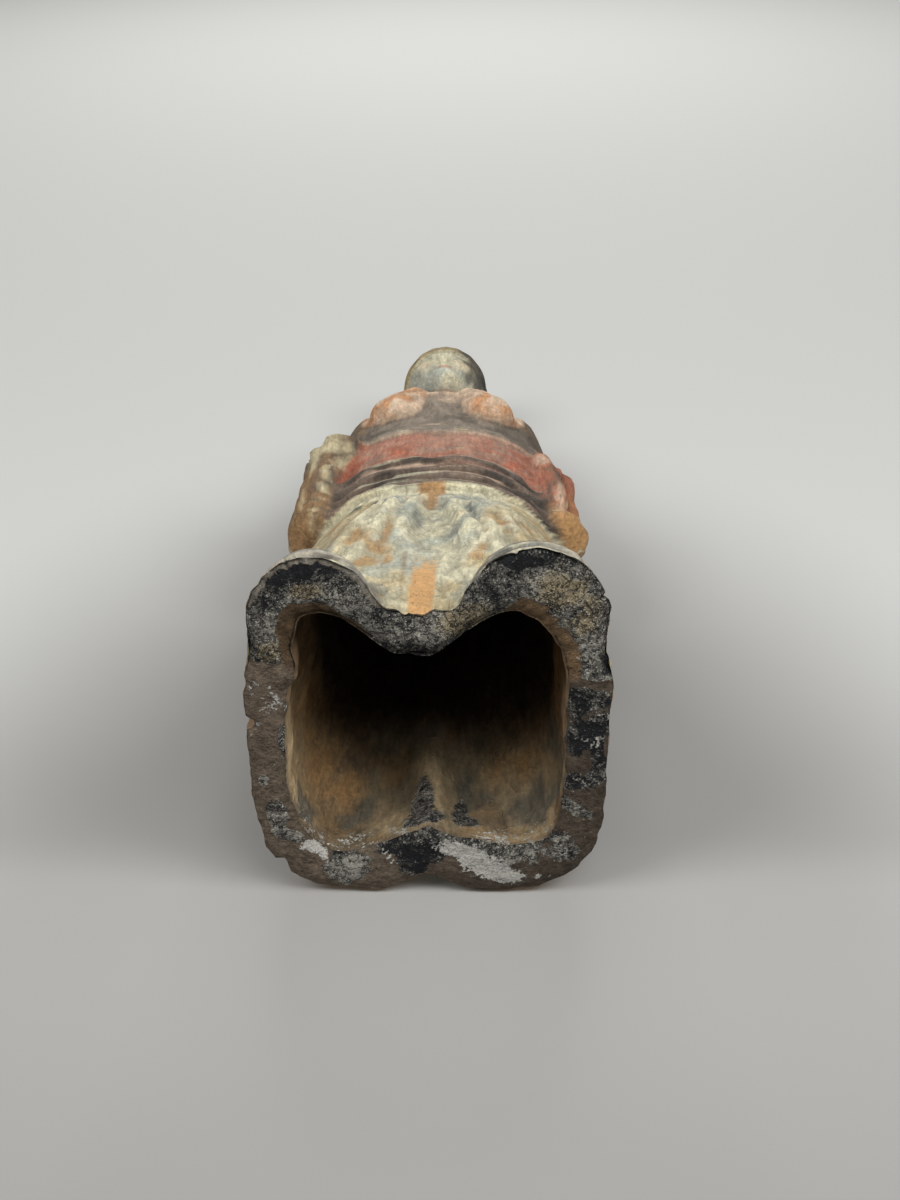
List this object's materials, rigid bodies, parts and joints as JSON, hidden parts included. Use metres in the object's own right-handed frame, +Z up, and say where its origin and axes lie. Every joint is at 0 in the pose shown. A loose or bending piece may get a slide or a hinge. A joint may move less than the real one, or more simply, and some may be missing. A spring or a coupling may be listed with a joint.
{
  "type": "tomb figure",
  "caption": "Hollow pottery tomb figure of a standing robed attendant with hanging sleeves, wide trousers and shoes, open at the flat base rim.",
  "frame": {"origin": "centre of the bounding box on the plane of the base rim", "axes": "+Z up along the figure, which faces -Y; its own right arm is at -X"},
  "size_m": [0.1336, 0.1374, 0.458],
  "materials": {
    "painted_clay": "matt fired grey clay with worn white, red, orange and black pigment and earth"
  },
  "bodies": {
    "root": {"figure": "painted_clay"}
  },
  "joints": []
}
